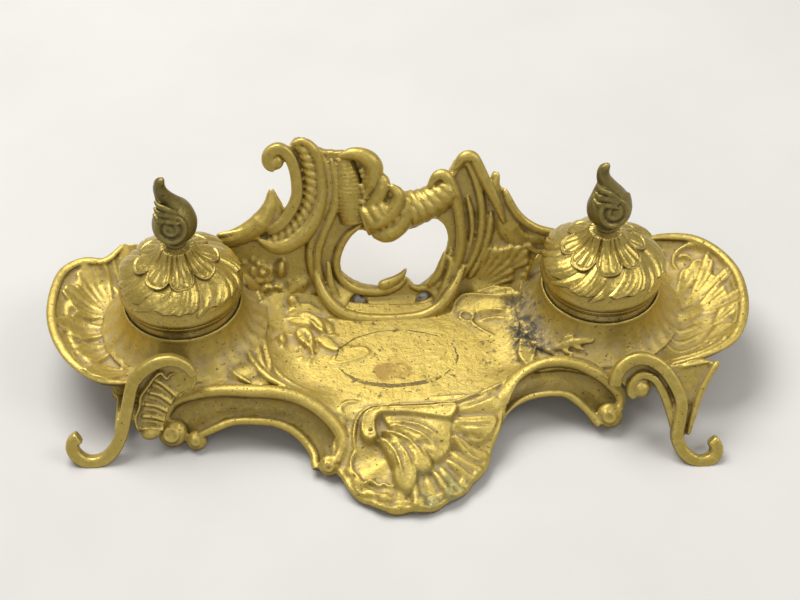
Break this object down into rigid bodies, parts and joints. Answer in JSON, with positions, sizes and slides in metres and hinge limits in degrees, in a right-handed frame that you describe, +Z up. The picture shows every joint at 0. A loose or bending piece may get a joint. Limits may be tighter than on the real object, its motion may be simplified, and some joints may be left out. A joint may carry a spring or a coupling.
{
  "type": "desk inkstand",
  "caption": "Cast-brass rococo desk inkstand: pen basin between hinged-lid inkwells, pierced crest as a pen rest, scroll legs.",
  "frame": {"origin": "middle of the bounding box, on the surface the stand rests on", "axes": "+X to the right along the stand, +Y towards the crest at the back, +Z up"},
  "size_m": [0.3053, 0.142, 0.1112],
  "materials": {
    "cast_brass": "aged cast brass, worn bright on edges, dusty in recesses",
    "lid_brass": "aged cast brass with a dull patina",
    "worn_brass": "rubbed plain brass",
    "dark_brass": "dark olive patinated brass",
    "steel": "dull old steel",
    "ink_glass": "moulded glass stained by ink"
  },
  "bodies": {
    "stand": {"tray": "cast_brass", "crest": "cast_brass", "crest_rivets": "dark_brass", "front_left_leg": "cast_brass", "front_right_leg": "cast_brass", "rear_left_leg": "cast_brass", "rear_right_leg": "cast_brass", "leg_screws": "steel", "left_well_collar": "worn_brass", "right_well_collar": "worn_brass", "left_ink_liner": "ink_glass", "right_ink_liner": "ink_glass", "left_lid_hinge_leaf": "dark_brass", "right_lid_hinge_leaf": "dark_brass", "left_hinge_pin": "steel", "right_hinge_pin": "steel"},
    "left_lid": {"left_lid": "lid_brass", "left_lid_hinge_tab": "dark_brass", "left_finial_washer": "worn_brass", "left_finial": "dark_brass", "left_finial_stud": "steel", "left_finial_nut": "steel"},
    "right_lid": {"right_lid": "lid_brass", "right_lid_hinge_tab": "dark_brass", "right_finial_washer": "worn_brass", "right_finial": "dark_brass", "right_finial_stud": "steel", "right_finial_nut": "steel"}
  },
  "joints": [
    {"name": "left_lid_hinge", "type": "hinge", "parent": "stand", "child": "left_lid", "pos_m": [-0.0928, 0.0516, 0.0428], "axis": [-1, 0, 0], "range_deg": [0, 95]},
    {"name": "right_lid_hinge", "type": "hinge", "parent": "stand", "child": "right_lid", "pos_m": [0.0872, 0.0516, 0.0428], "axis": [-1, 0, 0], "range_deg": [0, 95]}
  ]
}
